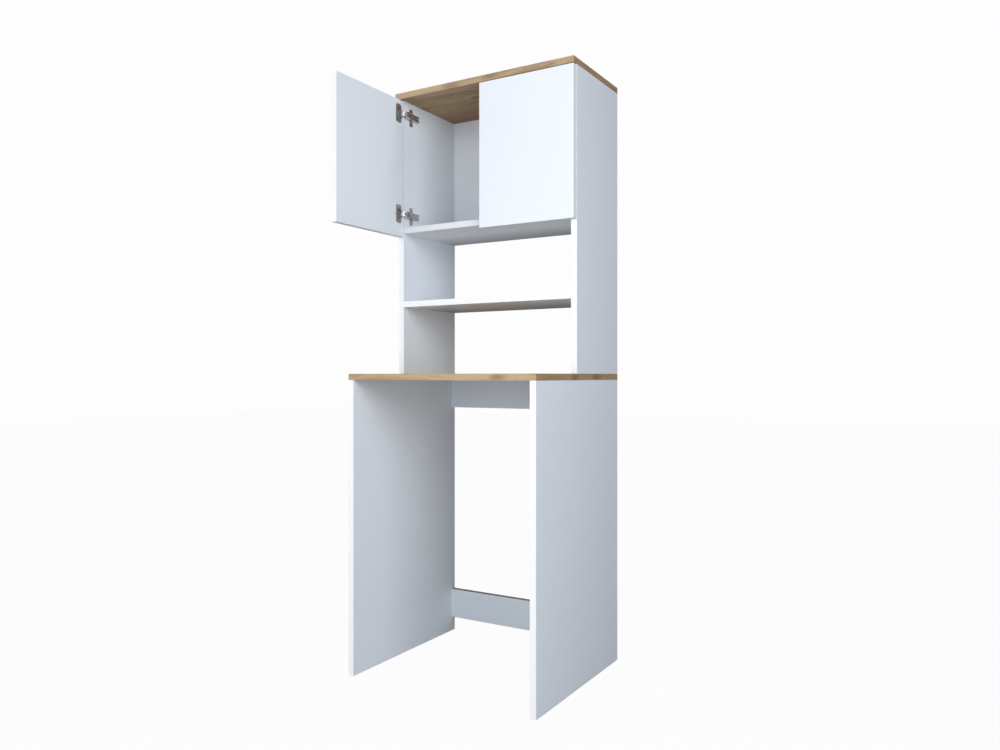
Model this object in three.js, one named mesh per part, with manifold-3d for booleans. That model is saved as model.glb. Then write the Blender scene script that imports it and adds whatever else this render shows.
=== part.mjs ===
// A tall cabinet that stands over a washing machine. Two full-depth sides, two rear rails and
// an oak-faced worktop make the frame round the machine. A shallower tower stands on it: two
// open bays, then a cupboard with two handleless doors under an oak-faced top.
// The left door is modelled open at a right angle and the right one closed.
//
// The sizes below are in millimetres. The model is laid out from the front left foot: X runs
// to the right, Y to the rear and Z up. The last lines move it so that its origin lies on the
// floor, under the middle of what it covers.

import * as THREE from 'three';
import { mergeVertices } from 'three/addons/utils/BufferGeometryUtils.js';
import Module from 'manifold-3d';

const wasm = await Module();
wasm.setup();

// Overall sizes. The clear heights run from board to board, from the floor up.
const cabinetWidth = 650;
const baseDepth = 550;
const upperDepth = 300;
const baseSideHeight = 901;
const lowerBayHeight = 220;
const upperBayHeight = 224;
const cupboardHeight = 419;
const boardThickness = 19;

// The two rear rails that square the base.
const railHeight = 100;
const lowerRailLift = 49;

// The doors lie on the sides and hang below the cupboard as a finger pull.
const doorThickness = 19;
const doorTopReveal = 2.5;
const doorSideReveal = 1;
const doorMiddleGap = 3;
const doorFrontGap = 1.5;
const fingerPull = 12;
const leftDoorAngle = Math.PI / 2;
const rightDoorAngle = 0;

// The thin back of the cupboard lies in a rebate, flush with the rear edges.
const backThickness = 3;
const rebateWidth = 8;
const backClearance = 0.5;

// Confirmat screws through the top and the worktop into the ends of the upper sides.
const screwInset = 50;
const screwRadius = 3.3;
const screwLength = 50;
const screwTip = 3;
const screwHeadRadius = 4.7;
const screwHeadHeight = 4;
const screwSocketRadius = 2.3;
const screwSocketDepth = 2.6;
const screwRecess = 0.4;

// Dowels between the base sides and the worktop.
const dowelRadius = 4;
const dowelLength = 28;
const dowelInset = 120;
const dowelChamfer = 1;

// Cam fittings at the ends of the rails and the shelves.
const camRadius = 7.2;
const camHeight = 13;
const camRecess = 0.4;
const camFromEnd = 24;
const camDriveLength = 9;
const camDriveWidth = 1.6;
const camDriveDepth = 2;
const boltThreadRadius = 2.5;
const boltThreadLength = 11;
const boltCollarRadius = 3.5;
const boltCollarLength = 2;
const boltNeckRadius = 1.8;
const boltHeadRadius = 3;
const boltHeadLength = 3;

// Running and seating clearances.
const fitClearance = 0.3;
const overrun = 1;

// Concealed hinges. The cup is sunk in the door and the plate is screwed to the side.
const upperHingeInset = 48;
const lowerHingeInset = 42;
const cupBoreRadius = 17.5;
const cupBoreDepth = 12.5;
const cupFromEdge = 5;
const cupWall = 0.7;
const flangeThickness = 0.9;
const flangeHeight = 60;
const flangeWidth = 27;
const flangeCorner = 6;
const rimWidth = 1.5;
const flangeScrewSpacing = 48;
const flangeScrewOffset = 6;
const flangeScrewRadius = 2.2;

// The hinge's four pivots: two on the arm, and two in the cup.
const innerPinFromEdge = 9;
const outerPinFromEdge = 13;
const pinDepth = 2;
const pinRadius = 0.9;
const openStandoff = 0.5;
const openLead = 3.5;
const rightAngle = Math.PI / 2;
const innerTurnShare = 0.4;
const outerTurnShare = 0.42;

// The two links of each hinge.
const linkThickness = 1.8;
const linkEyeRadius = 2;
const innerLinkHalfWidth = 3.2;
const innerLinkSagitta = 4.75;
const outerLinkHalfWidth = 7;
const outerLinkSagitta = 5;
const linkSideGap = 0.8;
const outerWindowShare = 0.34;

// The arm is a folded channel with a joggle behind its nose.
const sheetThickness = 1.2;
const noseMargin = 2.3;
const noseHalfWidth = 8.5;
const channelHalfWidth = 9.5;
const channelTop = 13;
const channelFoot = 4;
const crankTop = 19.5;
const crankStart = 8;
const crankEnd = 22;
const armRear = 68;
const coverStart = 1;
const armSlotLength = 9;
const armSlotWidth = 4.4;
const armScrewPlace = 30;
const armScrewRadius = 2.8;

// The cross-shaped mounting plate under the arm.
const plateThickness = 2.2;
const plateStart = 21;
const plateEnd = 63;
const plateHalfWidth = 6.5;
const wingPlace = 37;
const wingSpan = 58;
const wingWidth = 18;
const wingCorner = 6;
const plateScrewSpacing = 32;
const plateScrewRadius = 2.4;

// Facets of round forms.
const largeRoundSides = 36;
const smallRoundSides = 14;
const finePinSides = 10;
const arcSteps = 8;

// Heights and places that follow from the sizes above.
const upperFront = baseDepth - upperDepth;
const worktopTop = baseSideHeight + boardThickness;
const midShelfBottom = worktopTop + lowerBayHeight;
const floorBottom = midShelfBottom + boardThickness + upperBayHeight;
const floorTop = floorBottom + boardThickness;
const topPanelBottom = floorTop + cupboardHeight;
const cabinetHeight = topPanelBottom + boardThickness;
const doorProjection = doorFrontGap + doorThickness;
const doorWidth = cabinetWidth / 2 - doorSideReveal - doorMiddleGap / 2;
const doorBottom = floorBottom - fingerPull;
const doorTop = topPanelBottom - doorTopReveal;
const hingeLevels = {
  upper: topPanelBottom - upperHingeInset,
  lower: floorTop + lowerHingeInset,
};
const cupFromDoorEdge = cupFromEdge + cupBoreRadius;
const screwFront = upperFront + screwInset;
const screwRear = baseDepth - screwInset;

// Shapes that many pieces share.

function solidFrom(geometry) {
  const bare = geometry.clone();
  bare.deleteAttribute('normal');
  bare.deleteAttribute('uv');
  const merged = mergeVertices(bare);
  const index = merged.index.array;
  const corners = [];
  for (let i = 0; i < index.length; i += 3) {
    const [a, b, c] = [index[i], index[i + 1], index[i + 2]];
    if (a !== b && b !== c && c !== a) corners.push(a, b, c);
  }
  return new wasm.Manifold(new wasm.Mesh({
    numProp: 3,
    vertProperties: new Float32Array(merged.attributes.position.array),
    triVerts: new Uint32Array(corners),
  }));
}

function geometryFrom(solid) {
  const mesh = solid.getMesh();
  const geometry = new THREE.BufferGeometry();
  geometry.setAttribute('position', new THREE.Float32BufferAttribute(mesh.vertProperties, 3));
  geometry.setIndex(new THREE.BufferAttribute(mesh.triVerts, 1));
  geometry.computeVertexNormals();
  return geometry;
}

// A block between two corners.
function block(x0, x1, y0, y1, z0, z1) {
  const geometry = new THREE.BoxGeometry(x1 - x0, y1 - y0, z1 - z0);
  geometry.translate((x0 + x1) / 2, (y0 + y1) / 2, (z0 + z1) / 2);
  return solidFrom(geometry);
}

// An outline of [x, y] points drawn up from one height to another.
function prismGeometry(outline, z0, z1) {
  const shape = new THREE.Shape(outline.map(([x, y]) => new THREE.Vector2(x, y)));
  const geometry = new THREE.ExtrudeGeometry(shape, { depth: z1 - z0, bevelEnabled: false });
  geometry.translate(0, 0, z0);
  return geometry;
}

function prism(outline, z0, z1) {
  return solidFrom(prismGeometry(outline, z0, z1));
}

// An outline of [y, z] points drawn along X.
function prismAlongX(outline, x0, x1) {
  const geometry = prismGeometry(outline, x0, x1);
  geometry.rotateX(Math.PI / 2);
  geometry.rotateZ(Math.PI / 2);
  return solidFrom(geometry);
}

// An outline of [x, z] points drawn along Y, for outlines that are alike above and below.
function prismAlongY(outline, y0, y1) {
  const geometry = prismGeometry(outline, y0, y1);
  geometry.rotateX(-Math.PI / 2);
  return solidFrom(geometry);
}

function circle(x, y, radius, sides) {
  const points = [];
  for (let i = 0; i < sides; i += 1) {
    const angle = (i / sides) * Math.PI * 2;
    points.push([x + radius * Math.cos(angle), y + radius * Math.sin(angle)]);
  }
  return points;
}

// A rectangle with round corners, about its middle.
function roundedRectangle(x, y, width, height, corner) {
  const points = [];
  for (let quarter = 0; quarter < 4; quarter += 1) {
    const signX = quarter === 0 || quarter === 3 ? 1 : -1;
    const signY = quarter < 2 ? 1 : -1;
    for (let i = 0; i <= arcSteps / 2; i += 1) {
      const angle = (quarter + i / (arcSteps / 2)) * rightAngle;
      points.push([
        x + signX * (width / 2 - corner) + corner * Math.cos(angle),
        y + signY * (height / 2 - corner) + corner * Math.sin(angle),
      ]);
    }
  }
  return points;
}

// A profile of [radius, height] points, from the axis to the axis, turned round Z.
function turned(profile, sides) {
  const points = profile.map(([radius, height]) => new THREE.Vector2(radius, height));
  const geometry = new THREE.LatheGeometry(points, sides);
  geometry.rotateX(Math.PI / 2);
  return solidFrom(geometry);
}

// The mirror image across the plane between left and right, with its faces still outward.
function mirrored(geometry) {
  const position = geometry.attributes.position;
  for (let i = 0; i < position.count; i += 1) position.setX(i, -position.getX(i));
  const index = geometry.index.array;
  for (let i = 0; i < index.length; i += 3) {
    [index[i + 1], index[i + 2]] = [index[i + 2], index[i + 1]];
  }
  geometry.computeVertexNormals();
  return geometry;
}

// Materials and finishes.

function whiteMelamine() {
  return new THREE.MeshStandardMaterial({ color: 0xf0f1f2, roughness: 0.42, metalness: 0 });
}

function oakDecor() {
  return new THREE.MeshStandardMaterial({ color: 0xb99a78, roughness: 0.6, metalness: 0 });
}

function whiteHardboard() {
  return new THREE.MeshStandardMaterial({ color: 0xe6e7e8, roughness: 0.6, metalness: 0 });
}

function nickelSteel() {
  return new THREE.MeshStandardMaterial({ color: 0xb9b7b2, roughness: 0.28, metalness: 1 });
}

function zincSteel() {
  return new THREE.MeshStandardMaterial({ color: 0xc2c4c8, roughness: 0.35, metalness: 1 });
}

function beechDowel() {
  return new THREE.MeshStandardMaterial({ color: 0xc9a06c, roughness: 0.75, metalness: 0 });
}

function named(name, solid, material) {
  const mesh = new THREE.Mesh(geometryFrom(solid), material);
  mesh.name = name;
  return mesh;
}

// Screws, dowels, cams and cam bolts, and the room that each needs in the boards.

// The room that a confirmat screw takes, head down at the face it is driven from.
function screwRoom(x, y, face, direction) {
  const reach = screwRecess + screwLength + fitClearance;
  const shankRoom = turned([
    [0, -overrun],
    [screwHeadRadius + fitClearance, -overrun],
    [screwHeadRadius + fitClearance, screwRecess + fitClearance],
    [screwRadius + fitClearance, screwRecess + screwHeadHeight + fitClearance],
    [screwRadius + fitClearance, reach],
    [0, reach],
  ], smallRoundSides);
  return placedAlong(shankRoom, x, y, face, direction);
}

// A confirmat screw: flat head with a hexagon socket, thick shank and a short tip.
function confirmatScrew() {
  const body = turned([
    [0, 0],
    [screwHeadRadius, 0],
    [screwRadius, screwHeadHeight],
    [screwRadius, screwLength - screwTip],
    [screwRadius / 2, screwLength],
    [0, screwLength],
  ], smallRoundSides);
  const socket = prism(circle(0, 0, screwSocketRadius, 6), -overrun, screwSocketDepth);
  return body.subtract(socket);
}

// Sets a form that points up on a face at x, y, driven up or down from there.
function placedAlong(solid, x, y, face, direction) {
  const faced = direction > 0 ? solid : solid.rotate([180, 0, 0]);
  return faced.translate([x, y, face]);
}

function screwMesh(name, x, y, face, direction) {
  const start = face + direction * screwRecess;
  return named(name, placedAlong(confirmatScrew(), x, y, start, direction), zincSteel());
}

// A fluteless dowel with chamfered ends, from its middle.
function dowelSolid() {
  const half = dowelLength / 2;
  return turned([
    [0, -half],
    [dowelRadius - dowelChamfer, -half],
    [dowelRadius, -half + dowelChamfer],
    [dowelRadius, half - dowelChamfer],
    [dowelRadius - dowelChamfer, half],
    [0, half],
  ], smallRoundSides);
}

function dowelRoom(x, y, z) {
  const half = dowelLength / 2 + fitClearance;
  return prism(circle(x, y, dowelRadius + fitClearance, smallRoundSides), z - half, z + half);
}

// The cam: a round barrel with a pocket for the bolt and a cross recess in its face.
// Its face looks up, the bolt comes from the left, and its origin lies on the bolt's axis.
function camSolid() {
  const face = boardThickness / 2 - camRecess;
  const foot = face - camHeight;
  const barrel = prism(circle(0, 0, camRadius, smallRoundSides), foot, face);
  const neckRoom = boltNeckRadius + fitClearance;
  const headRoom = boltHeadRadius + fitClearance;
  const neckSlot = block(
    -camRadius - overrun, 0, -neckRoom, neckRoom, -neckRoom, neckRoom,
  );
  const mouth = block(
    -camRadius - overrun, -boltHeadLength, -headRoom, headRoom, -headRoom, headRoom,
  );
  const headPocket = block(
    -boltHeadLength - fitClearance, fitClearance, -headRoom, headRoom, -headRoom, headRoom,
  );
  const drive = face - camDriveDepth;
  const half = camDriveLength / 2;
  const crossA = block(-half, half, -camDriveWidth / 2, camDriveWidth / 2, drive, face + overrun);
  const crossB = block(-camDriveWidth / 2, camDriveWidth / 2, -half, half, drive, face + overrun);
  return barrel.subtract(neckSlot).subtract(mouth).subtract(headPocket)
    .subtract(crossA).subtract(crossB);
}

// The bolt: a threaded end in the side, a collar, a neck and a head in the cam. It runs
// along X from the face of the side, with the cam's axis at its origin.
function camBoltSolid() {
  const face = -camFromEnd;
  const bolt = turned([
    [0, face - boltThreadLength],
    [boltThreadRadius, face - boltThreadLength],
    [boltThreadRadius, face],
    [boltCollarRadius, face + fitClearance],
    [boltCollarRadius, face + boltCollarLength],
    [boltNeckRadius, face + boltCollarLength],
    [boltNeckRadius, -boltHeadLength],
    [boltHeadRadius, -boltHeadLength],
    [boltHeadRadius, 0],
    [0, 0],
  ], finePinSides);
  return bolt.rotate([0, 90, 0]);
}

// The bores that one fitting needs in the end of a board.
function camRoom() {
  const face = boardThickness / 2;
  const foot = face - camRecess - camHeight - fitClearance;
  const bore = prism(circle(0, 0, camRadius + fitClearance, smallRoundSides), foot, face + overrun);
  const channel = turned([
    [0, -camFromEnd - overrun],
    [boltCollarRadius + fitClearance, -camFromEnd - overrun],
    [boltCollarRadius + fitClearance, 0],
    [0, 0],
  ], finePinSides).rotate([0, 90, 0]);
  return bore.add(channel);
}

// The bore for the bolt's thread in a side, seen from the same origin.
function boltRoom() {
  return turned([
    [0, -camFromEnd - boltThreadLength - fitClearance],
    [boltThreadRadius + fitClearance, -camFromEnd - boltThreadLength - fitClearance],
    [boltThreadRadius + fitClearance, -camFromEnd + overrun],
    [0, -camFromEnd + overrun],
  ], finePinSides).rotate([0, 90, 0]);
}

// Sets a fitting's form at the left or right end of a board. Its cam shows on the board's
// top, or on its rear when the board stands on edge.
function atBoardEnd(solid, side, y, z, onEdge) {
  const swung = side === 'left' ? solid : solid.rotate([0, 0, 180]);
  const faced = onEdge ? swung.rotate([-90, 0, 0]) : swung;
  const place = boardThickness + camFromEnd;
  return faced.translate([side === 'left' ? place : cabinetWidth - place, y, z]);
}

const shelfCamPlace = upperFront + upperDepth / 2;
const railCamPlace = baseDepth - boardThickness / 2;
const upperFittings = [
  { board: 'mid_shelf', y: shelfCamPlace, z: midShelfBottom + boardThickness / 2, onEdge: false },
  { board: 'cupboard_floor', y: shelfCamPlace, z: floorBottom + boardThickness / 2, onEdge: false },
];
const baseFittings = [
  {
    board: 'rail_upper', y: railCamPlace, z: baseSideHeight - railHeight / 2, onEdge: true,
  },
  {
    board: 'rail_lower', y: railCamPlace, z: lowerRailLift + railHeight / 2, onEdge: true,
  },
];
const sides = ['left', 'right'];

function sideMiddle(side) {
  return side === 'left' ? boardThickness / 2 : cabinetWidth - boardThickness / 2;
}

// Cuts both ends of a board for its fittings.
function withCamRooms(solid, fitting) {
  let cut = solid;
  for (const side of sides) {
    cut = cut.subtract(atBoardEnd(camRoom(), side, fitting.y, fitting.z, fitting.onEdge));
  }
  return cut;
}

// Boards, rails, shelves, top panel and back.

// The space that the back panel and its clearance take out of the boards round it.
function backRoom(overlap) {
  const reach = rebateWidth + overlap;
  return block(
    boardThickness - reach,
    cabinetWidth - boardThickness + reach,
    baseDepth - backThickness,
    baseDepth + overrun,
    floorTop - reach,
    topPanelBottom + reach,
  );
}

function baseSide(side) {
  const x = side === 'left' ? 0 : cabinetWidth - boardThickness;
  let solid = block(x, x + boardThickness, 0, baseDepth, 0, baseSideHeight);
  for (const fitting of baseFittings) {
    solid = solid.subtract(atBoardEnd(boltRoom(), side, fitting.y, fitting.z, true));
  }
  return solid.subtract(dowelRoom(sideMiddle(side), dowelInset, baseSideHeight));
}

function worktop() {
  let solid = block(0, cabinetWidth, 0, baseDepth, baseSideHeight, worktopTop);
  for (const side of sides) {
    solid = solid.subtract(dowelRoom(sideMiddle(side), dowelInset, baseSideHeight));
    for (const y of [screwFront, screwRear]) {
      solid = solid.subtract(screwRoom(sideMiddle(side), y, baseSideHeight, 1));
    }
  }
  return solid;
}

function rail(fitting) {
  const solid = block(
    boardThickness,
    cabinetWidth - boardThickness,
    baseDepth - boardThickness,
    baseDepth,
    fitting.z - railHeight / 2,
    fitting.z + railHeight / 2,
  );
  return withCamRooms(solid, fitting);
}

function upperSide(side) {
  const x = side === 'left' ? 0 : cabinetWidth - boardThickness;
  let solid = block(x, x + boardThickness, upperFront, baseDepth, worktopTop, topPanelBottom);
  for (const y of [screwFront, screwRear]) {
    solid = solid.subtract(screwRoom(sideMiddle(side), y, baseSideHeight, 1));
    solid = solid.subtract(screwRoom(sideMiddle(side), y, cabinetHeight, -1));
  }
  for (const fitting of upperFittings) {
    solid = solid.subtract(atBoardEnd(boltRoom(), side, fitting.y, fitting.z, false));
  }
  return solid.subtract(backRoom(backClearance));
}

function shelf(fitting) {
  const solid = block(
    boardThickness,
    cabinetWidth - boardThickness,
    upperFront,
    baseDepth,
    fitting.z - boardThickness / 2,
    fitting.z + boardThickness / 2,
  );
  return withCamRooms(solid, fitting);
}

function topPanel() {
  const front = upperFront - doorProjection;
  let solid = block(0, cabinetWidth, front, baseDepth, topPanelBottom, cabinetHeight);
  for (const side of sides) {
    for (const y of [screwFront, screwRear]) {
      solid = solid.subtract(screwRoom(sideMiddle(side), y, cabinetHeight, -1));
    }
  }
  return solid.subtract(backRoom(backClearance));
}

function backPanel() {
  return block(
    boardThickness - rebateWidth,
    cabinetWidth - boardThickness + rebateWidth,
    baseDepth - backThickness,
    baseDepth,
    floorTop - rebateWidth,
    topPanelBottom + rebateWidth,
  );
}

// The concealed hinge: cup, links, arm and mounting plate, and the doors that carry the cups.
//
// Each hinge is laid out in plan from the front inner corner of the left side, with X into the
// cupboard and Y to the rear. The right hand is its mirror image. The door's own plan has its
// origin at the inner corner of its hinged edge: u runs along the door and w out of its inner
// face. Two links of unlike turn carry the cup: both turn the opposite way to the door, by a
// fixed share of its angle, so the door's edge first moves out and then past the side.

// The point that a link turns about when its end goes from one place to another.
function pivotFor(closed, open, turn) {
  const dx = open[0] - closed[0];
  const dy = open[1] - closed[1];
  const reach = 1 / (2 * Math.tan(turn / 2));
  return [
    (closed[0] + open[0]) / 2 - dy * reach,
    (closed[1] + open[1]) / 2 + dx * reach,
  ];
}

function turnedAbout(centre, point, angle) {
  const dx = point[0] - centre[0];
  const dy = point[1] - centre[1];
  return [
    centre[0] + dx * Math.cos(angle) - dy * Math.sin(angle),
    centre[1] + dx * Math.sin(angle) + dy * Math.cos(angle),
  ];
}

const cornerClosed = [doorSideReveal - boardThickness, -doorFrontGap];
const cornerOpen = [openStandoff, -openLead];

function linkPivots(fromEdge, turnShare) {
  const closed = [cornerClosed[0] + fromEdge, cornerClosed[1] - pinDepth];
  const open = [cornerOpen[0] - pinDepth, cornerOpen[1] - fromEdge];
  return { arm: pivotFor(closed, open, turnShare * rightAngle), cup: closed };
}

const innerPivots = linkPivots(innerPinFromEdge, innerTurnShare);
const outerPivots = linkPivots(outerPinFromEdge, outerTurnShare);

function doorPin(angle) {
  return turnedAbout(innerPivots.arm, innerPivots.cup, innerTurnShare * angle);
}

// A curved strap between two pivots, bulging to the left of the way from one to the other.
function strap(from, to, sagitta, z0, z1) {
  const dx = to[0] - from[0];
  const dy = to[1] - from[1];
  const chord = Math.hypot(dx, dy);
  const radius = (chord * chord / 4 + sagitta * sagitta) / (2 * sagitta);
  const normal = [-dy / chord, dx / chord];
  const centre = [
    (from[0] + to[0]) / 2 - normal[0] * (radius - sagitta),
    (from[1] + to[1]) / 2 - normal[1] * (radius - sagitta),
  ];
  const start = Math.atan2(from[1] - centre[1], from[0] - centre[0]);
  const sweep = -2 * Math.asin(chord / (2 * radius));
  const outline = [];
  for (let i = 0; i <= arcSteps; i += 1) {
    const angle = start + sweep * (i / arcSteps);
    const far = radius + linkThickness / 2;
    outline.push([centre[0] + far * Math.cos(angle), centre[1] + far * Math.sin(angle)]);
  }
  for (let i = arcSteps; i >= 0; i -= 1) {
    const angle = start + sweep * (i / arcSteps);
    const near = radius - linkThickness / 2;
    outline.push([centre[0] + near * Math.cos(angle), centre[1] + near * Math.sin(angle)]);
  }
  return prism(outline, z0, z1);
}

function round(centre, radius, z0, z1) {
  return prism(circle(centre[0], centre[1], radius, finePinSides), z0, z1);
}

// The narrow link that carries the door, with an eye at each end.
function innerLink() {
  const { arm, cup } = innerPivots;
  const half = innerLinkHalfWidth;
  let solid = strap(arm, cup, innerLinkSagitta, -half, half);
  for (const pivot of [arm, cup]) solid = solid.add(round(pivot, linkEyeRadius, -half, half));
  for (const pivot of [arm, cup]) {
    solid = solid.subtract(
      round(pivot, pinRadius + fitClearance, -half - overrun, half + overrun),
    );
  }
  return solid.translate([-arm[0], -arm[1], 0]);
}

// The wide link outside it. Both its ends are forked, so that the narrow link passes between.
function outerLink() {
  const { arm, cup } = outerPivots;
  const half = outerLinkHalfWidth;
  const fork = innerLinkHalfWidth + linkSideGap;
  let solid = strap(arm, cup, outerLinkSagitta, -half, half);
  solid = solid.add(round(arm, linkEyeRadius, -half, half));
  solid = solid.add(round(cup, linkThickness / 2, -half, half));
  const along = [cup[0] - arm[0], cup[1] - arm[1]];
  const length = Math.hypot(along[0], along[1]);
  const window = length * outerWindowShare;
  const reach = length;
  const angle = Math.atan2(along[1], along[0]) * THREE.MathUtils.RAD2DEG;
  for (const centre of [-reach + window, length - window + reach]) {
    const gap = block(centre - reach, centre + reach, -reach, reach, -fork, fork);
    solid = solid.subtract(gap.rotate([0, 0, angle]).translate([arm[0], arm[1], 0]));
  }
  solid = solid.subtract(round(arm, pinRadius + fitClearance, -half - overrun, half + overrun));
  return solid.translate([-arm[0], -arm[1], 0]);
}

// The cup with its flange and the pin that the narrow link turns on, in the door's plan.
function hingeCup() {
  const outer = cupBoreRadius - fitClearance;
  const inner = outer - cupWall;
  const face = fitClearance + flangeThickness;
  const foot = fitClearance - cupBoreDepth;
  const well = circle(cupFromDoorEdge, 0, inner, largeRoundSides);
  const shell = prismAlongY(circle(cupFromDoorEdge, 0, outer, largeRoundSides), foot, face);
  const rim = prismAlongY(
    circle(cupFromDoorEdge, 0, inner + rimWidth, largeRoundSides), fitClearance, face,
  );
  const flangeMiddle = cupFromDoorEdge + flangeScrewOffset / 2;
  const flange = prismAlongY(
    roundedRectangle(flangeMiddle, 0, flangeWidth, flangeHeight, flangeCorner), fitClearance, face,
  );
  let solid = shell.add(rim).add(flange)
    .subtract(prismAlongY(well, foot + cupWall, face + overrun));
  for (const z of [-flangeScrewSpacing / 2, flangeScrewSpacing / 2]) {
    const x = cupFromDoorEdge + flangeScrewOffset;
    const hole = circle(x, z, flangeScrewRadius, finePinSides);
    solid = solid.subtract(prismAlongY(hole, 0, face + overrun));
  }
  const centre = [innerPinFromEdge, -pinDepth];
  const farSide = cupFromDoorEdge - innerPinFromEdge + pinRadius;
  const pinHalf = Math.sqrt(outer * outer - farSide * farSide);
  return solid.add(round(centre, pinRadius, -pinHalf, pinHalf));
}

// The plan of the arm's cheeks: a round nose about its two pivots, then the crank and the rear.
function armCheeks(z0, z1) {
  const a = innerPivots.arm;
  const b = outerPivots.arm;
  const length = Math.hypot(b[0] - a[0], b[1] - a[1]);
  const nx = -(b[1] - a[1]) / length * noseMargin;
  const ny = (b[0] - a[0]) / length * noseMargin;
  const nose = prism([
    [a[0] + nx, a[1] + ny],
    [a[0] - nx, a[1] - ny],
    [b[0] - nx, b[1] - ny],
    [b[0] + nx, b[1] + ny],
  ], z0, z1);
  const body = prism([
    [a[0] - noseMargin, a[1]],
    [b[0] + noseMargin, b[1]],
    [b[0] + noseMargin, coverStart],
    [crankTop, crankStart],
    [channelTop, crankEnd],
    [channelTop, armRear],
    [channelFoot, armRear],
    [channelFoot, crankStart],
  ], z0, z1);
  return nose.add(body).add(round(a, noseMargin, z0, z1)).add(round(b, noseMargin, z0, z1));
}

// The arm's outline seen from the cupboard, as wide as the nose in front and wider behind.
function armPlanform(inset) {
  const front = outerPivots.arm[1] - noseMargin - overrun;
  const rear = armRear + overrun;
  const narrow = noseHalfWidth - inset;
  const wide = channelHalfWidth - inset;
  return [
    [front, -narrow],
    [crankStart, -narrow],
    [crankEnd, -wide],
    [rear, -wide],
    [rear, wide],
    [crankEnd, wide],
    [crankStart, narrow],
    [front, narrow],
  ];
}

function hingeArm() {
  const reach = crankTop + overrun;
  const front = outerPivots.arm[1] - noseMargin - overrun;
  const outside = armCheeks(-channelHalfWidth, channelHalfWidth)
    .intersect(prismAlongX(armPlanform(0), 0, reach));
  const hollow = prism([
    [0, front],
    [reach, front],
    [reach, coverStart],
    [outerPivots.arm[0] + noseMargin - sheetThickness, coverStart],
    [crankTop - sheetThickness, crankStart],
    [channelTop - sheetThickness, crankEnd],
    [channelTop - sheetThickness, armRear + overrun],
    [0, armRear + overrun],
  ], -channelHalfWidth, channelHalfWidth)
    .intersect(prismAlongX(armPlanform(sheetThickness), -overrun, reach + overrun));
  let solid = outside.subtract(hollow);
  for (const pivot of [innerPivots.arm, outerPivots.arm]) {
    const half = noseHalfWidth - sheetThickness / 2;
    solid = solid.add(round(pivot, pinRadius, -half, half));
  }
  const slot = block(
    channelTop - sheetThickness - overrun,
    channelTop + overrun,
    armRear - armSlotLength,
    armRear + overrun,
    -armSlotWidth / 2,
    armSlotWidth / 2,
  );
  const screwHole = prismAlongX(
    circle(armScrewPlace, 0, armScrewRadius, finePinSides),
    channelTop - sheetThickness - overrun,
    channelTop + overrun,
  );
  return solid.subtract(slot).subtract(screwHole);
}

// The mounting plate: a cross on the side and a ridge that the arm straddles.
function hingePlate() {
  const wing = roundedRectangle(wingPlace, 0, wingWidth, wingSpan, wingCorner);
  const stem = [
    [plateStart, -plateHalfWidth],
    [plateEnd, -plateHalfWidth],
    [plateEnd, plateHalfWidth],
    [plateStart, plateHalfWidth],
  ];
  const ridgeTop = channelTop - sheetThickness - fitClearance;
  let solid = prismAlongX(wing, 0, plateThickness).add(prismAlongX(stem, 0, ridgeTop));
  for (const z of [-plateScrewSpacing / 2, plateScrewSpacing / 2]) {
    const hole = circle(wingPlace, z, plateScrewRadius, finePinSides);
    solid = solid.subtract(prismAlongX(hole, -overrun, plateThickness + overrun));
  }
  return solid;
}

// A door in its own plan, with a bore for each cup.
function doorSolid() {
  let solid = block(0, doorWidth, -doorThickness, 0, doorBottom, doorTop);
  for (const level of Object.values(hingeLevels)) {
    const bore = prismAlongY(
      circle(cupFromDoorEdge, 0, cupBoreRadius, largeRoundSides), -cupBoreDepth, overrun,
    );
    solid = solid.subtract(bore.translate([0, 0, level]));
  }
  return solid;
}

// The cabinet put together, with one group for each piece that turns.

const cabinet = new THREE.Group();
cabinet.name = 'washing machine cabinet';

for (const side of sides) {
  cabinet.add(named(`base_side_${side}`, baseSide(side), whiteMelamine()));
  cabinet.add(named(`upper_side_${side}`, upperSide(side), whiteMelamine()));
}
cabinet.add(named('worktop', worktop(), oakDecor()));
cabinet.add(named('top_panel', topPanel(), oakDecor()));
cabinet.add(named('back_panel', backPanel(), whiteHardboard()));
cabinet.add(named('mid_shelf', shelf(upperFittings[0]), whiteMelamine()));
cabinet.add(named(
  'cupboard_floor', shelf(upperFittings[1]).subtract(backRoom(backClearance)), whiteMelamine(),
));
cabinet.add(named('rail_upper', rail(baseFittings[0]), whiteMelamine()));
cabinet.add(named('rail_lower', rail(baseFittings[1]), whiteMelamine()));

for (const fitting of [...upperFittings, ...baseFittings]) {
  for (const side of sides) {
    const cam = atBoardEnd(camSolid(), side, fitting.y, fitting.z, fitting.onEdge);
    const bolt = atBoardEnd(camBoltSolid(), side, fitting.y, fitting.z, fitting.onEdge);
    cabinet.add(named(`cam_${fitting.board}_${side}`, cam, zincSteel()));
    cabinet.add(named(`cam_bolt_${fitting.board}_${side}`, bolt, zincSteel()));
  }
}

for (const side of sides) {
  const x = sideMiddle(side);
  for (const [end, y] of [['front', screwFront], ['rear', screwRear]]) {
    cabinet.add(screwMesh(`top_screw_${side}_${end}`, x, y, cabinetHeight, -1));
    cabinet.add(screwMesh(`worktop_screw_${side}_${end}`, x, y, baseSideHeight, 1));
  }
  const dowel = named(`worktop_dowel_${side}`, dowelSolid(), beechDowel());
  dowel.position.set(x, dowelInset, baseSideHeight);
  cabinet.add(dowel);
}

// Adds the meshes of one hinge piece at both levels of a group that stands at floor height.
function addAtBothLevels(group, piece, side, build, material, x, y) {
  for (const [level, z] of Object.entries(hingeLevels)) {
    const geometry = geometryFrom(build().translate([x, y, 0]));
    const mesh = new THREE.Mesh(side === 'left' ? geometry : mirrored(geometry), material());
    mesh.name = `hinge_${piece}_${side}_${level}`;
    mesh.position.z = z;
    group.add(mesh);
  }
}

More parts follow.
